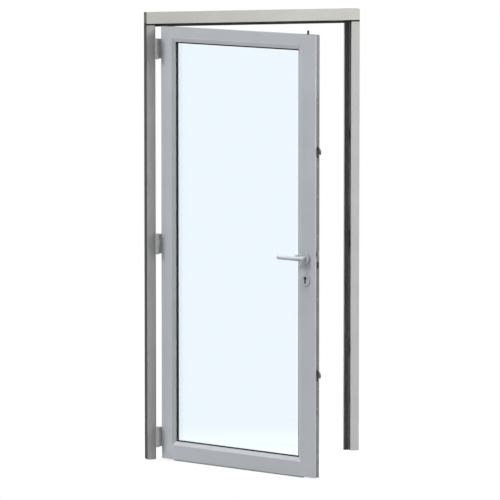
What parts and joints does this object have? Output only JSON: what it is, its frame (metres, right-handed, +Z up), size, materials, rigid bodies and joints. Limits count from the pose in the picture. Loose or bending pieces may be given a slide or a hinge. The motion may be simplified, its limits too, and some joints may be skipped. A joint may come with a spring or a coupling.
{
  "type": "aluminium door with frame",
  "caption": "Glazed single-leaf aluminium door in its frame, hung on barrel hinges, with lever handles and a hook-and-rod multipoint lock; the leaf stands part open.",
  "frame": {"origin": "middle of the doorway at floor level, on the frame's front face", "axes": "+Z up, +X along the frame from the hinge jamb to the lock jamb, +Y into the depth of the frame"},
  "size_m": [1.04, 0.8618, 2.1],
  "materials": {
    "profile": "satin powder coat",
    "head_profile": "satin powder coat",
    "thermal_bar": "matt",
    "gasket": "matt",
    "steel": "brushed",
    "fitting": "satin anodised",
    "bush": "matt",
    "glass": "polished"
  },
  "bodies": {
    "frame": {"hinge_jamb_front": "profile", "hinge_jamb_rear": "profile", "lock_jamb_front": "profile", "lock_jamb_rear": "profile", "head_front": "head_profile", "head_rear": "head_profile", "frame_thermal_bars": "thermal_bar", "frame_gasket": "gasket", "joint_pads": "gasket", "jamb_spigots": "fitting", "strike_plate": "steel", "hook_keeps": "steel", "head_keep": "steel", "hinge_frame_wings": "fitting", "hinge_pins": "steel"},
    "leaf": {"hinge_stile_front": "profile", "hinge_stile_rear": "profile", "lock_stile_front": "profile", "lock_stile_rear": "profile", "top_rail_front": "profile", "top_rail_rear": "profile", "bottom_rail_front": "profile", "bottom_rail_rear": "profile", "leaf_thermal_bars": "thermal_bar", "rail_connectors": "fitting", "stile_plugs": "thermal_bar", "hinge_leaf_wings": "fitting", "hinge_bushes": "bush", "bead_left": "profile", "bead_right": "profile", "bead_top": "profile", "bead_bottom": "profile", "glass_front": "glass", "glass_rear": "glass", "glass_spacer": "gasket", "front_glazing_gasket": "gasket", "rear_glazing_gasket": "gasket", "setting_blocks": "thermal_bar", "bottom_seal": "gasket", "lock_faceplate": "steel", "lock_case": "steel", "hook_cases": "steel", "rod_guide": "thermal_bar", "front_rose": "fitting", "rear_rose": "fitting", "front_escutcheon": "fitting", "rear_escutcheon": "fitting"},
    "handle": {"front_lever": "fitting", "rear_lever": "fitting", "spindle": "steel", "follower": "steel"},
    "latch": {"latch_bolt": "steel"},
    "bolt": {"dead_bolt": "steel"},
    "hook_upper": {"upper_hook": "steel"},
    "hook_lower": {"lower_hook": "steel"},
    "rod_upper": {"upper_rod": "steel"},
    "rod_lower": {"lower_rod": "steel"}
  },
  "joints": [
    {"name": "leaf_swing", "type": "hinge", "parent": "frame", "child": "leaf", "pos_m": [-0.4755, -0.023, 1.015], "axis": [0, 0, -1], "range_deg": [-57.5, 47.5]},
    {"name": "handle_turn", "type": "hinge", "parent": "leaf", "child": "handle", "pos_m": [0.04027, -0.74791, 1.015], "axis": [-0.8434, -0.5373, 0], "range_deg": [0, 45], "stiffness_Nm_per_rad": 2.5, "springref_deg": -17.19},
    {"name": "latch_slide", "type": "slide", "parent": "leaf", "child": "latch", "axis": [0.5373, -0.8434, 0], "range_m": [-0.012, 0]},
    {"name": "rod_throw", "type": "slide", "parent": "leaf", "child": "rod_upper", "axis": [0, 0, 1], "range_m": [-0.018, 0]},
    {"name": "rod_pull", "type": "slide", "parent": "leaf", "child": "rod_lower", "axis": [0, 0, 1], "range_m": [0, 0.018]},
    {"name": "bolt_slide", "type": "slide", "parent": "leaf", "child": "bolt", "axis": [0.5373, -0.8434, 0], "range_m": [0, 0.022]},
    {"name": "upper_hook_turn", "type": "hinge", "parent": "leaf", "child": "hook_upper", "pos_m": [0.06249, -0.79303, 1.502], "axis": [-0.8434, -0.5373, 0], "range_deg": [0, 100]},
    {"name": "lower_hook_turn", "type": "hinge", "parent": "leaf", "child": "hook_lower", "pos_m": [0.06249, -0.79303, 0.479], "axis": [-0.8434, -0.5373, 0], "range_deg": [0, 100]}
  ],
  "couplings": [
    {"joint": "latch_slide", "follows": "handle_turn", "m_per_rad": -0.015279},
    {"joint": "rod_pull", "follows": "rod_throw", "ratio": -1},
    {"joint": "upper_hook_turn", "follows": "rod_throw", "rad_per_m": -96.963},
    {"joint": "lower_hook_turn", "follows": "rod_throw", "rad_per_m": -96.963}
  ]
}
